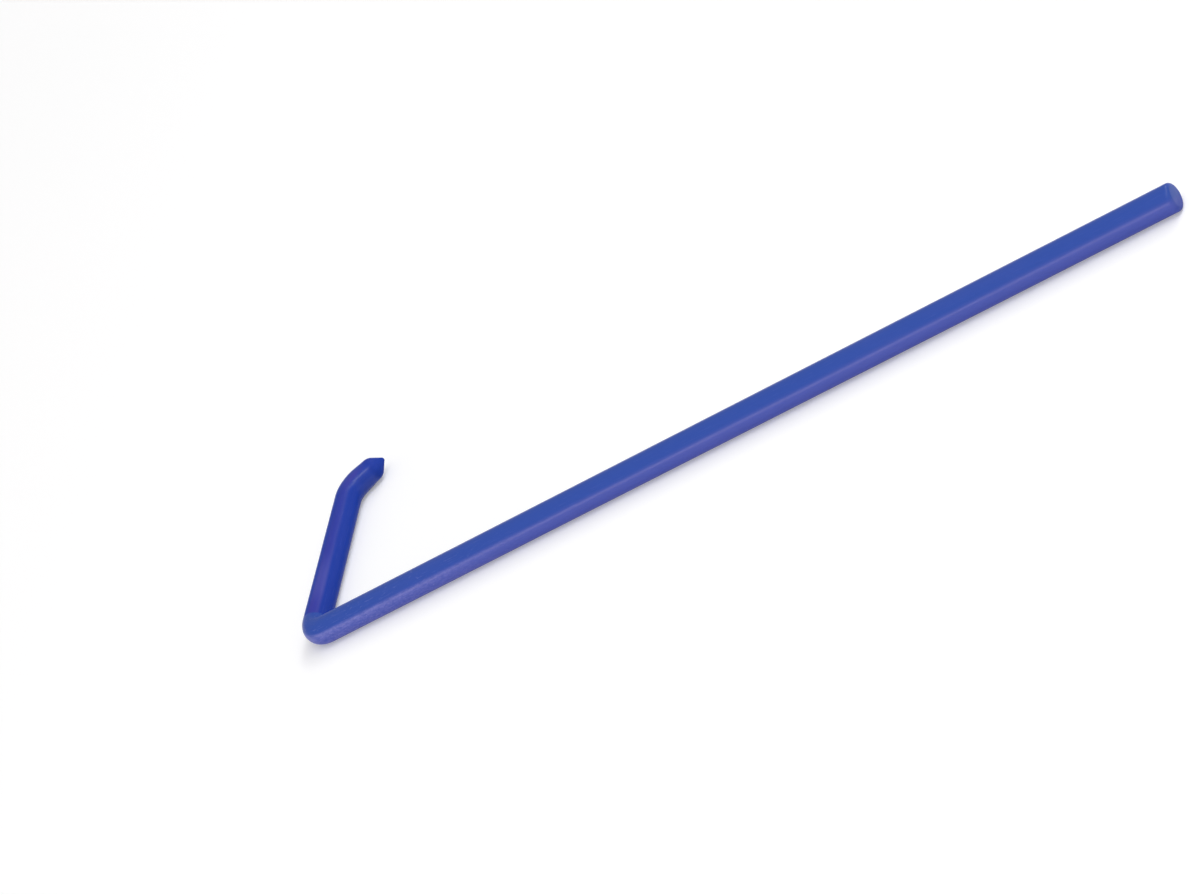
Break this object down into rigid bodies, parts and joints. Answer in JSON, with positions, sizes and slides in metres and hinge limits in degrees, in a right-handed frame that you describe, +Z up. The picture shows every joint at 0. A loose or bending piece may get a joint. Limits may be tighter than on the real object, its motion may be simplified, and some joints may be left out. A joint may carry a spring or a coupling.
{
  "type": "cell spreader",
  "caption": "One-piece L-shaped rod spreader with a long round handle, a tapered arm and a short turned-up toe with a blunt nose, for spreading cells over agar.",
  "frame": {"origin": "under the middle of the outer box, on the surface that the spreader lies on", "axes": "+X along the handle towards its free end, +Y along the arm towards the toe, +Z up through the rod"},
  "size_m": [0.146, 0.0372, 0.004],
  "materials": {
    "blue_plastic": "smooth moulded plastic, soft gloss"
  },
  "bodies": {
    "root": {"spreader": "blue_plastic"}
  },
  "joints": []
}
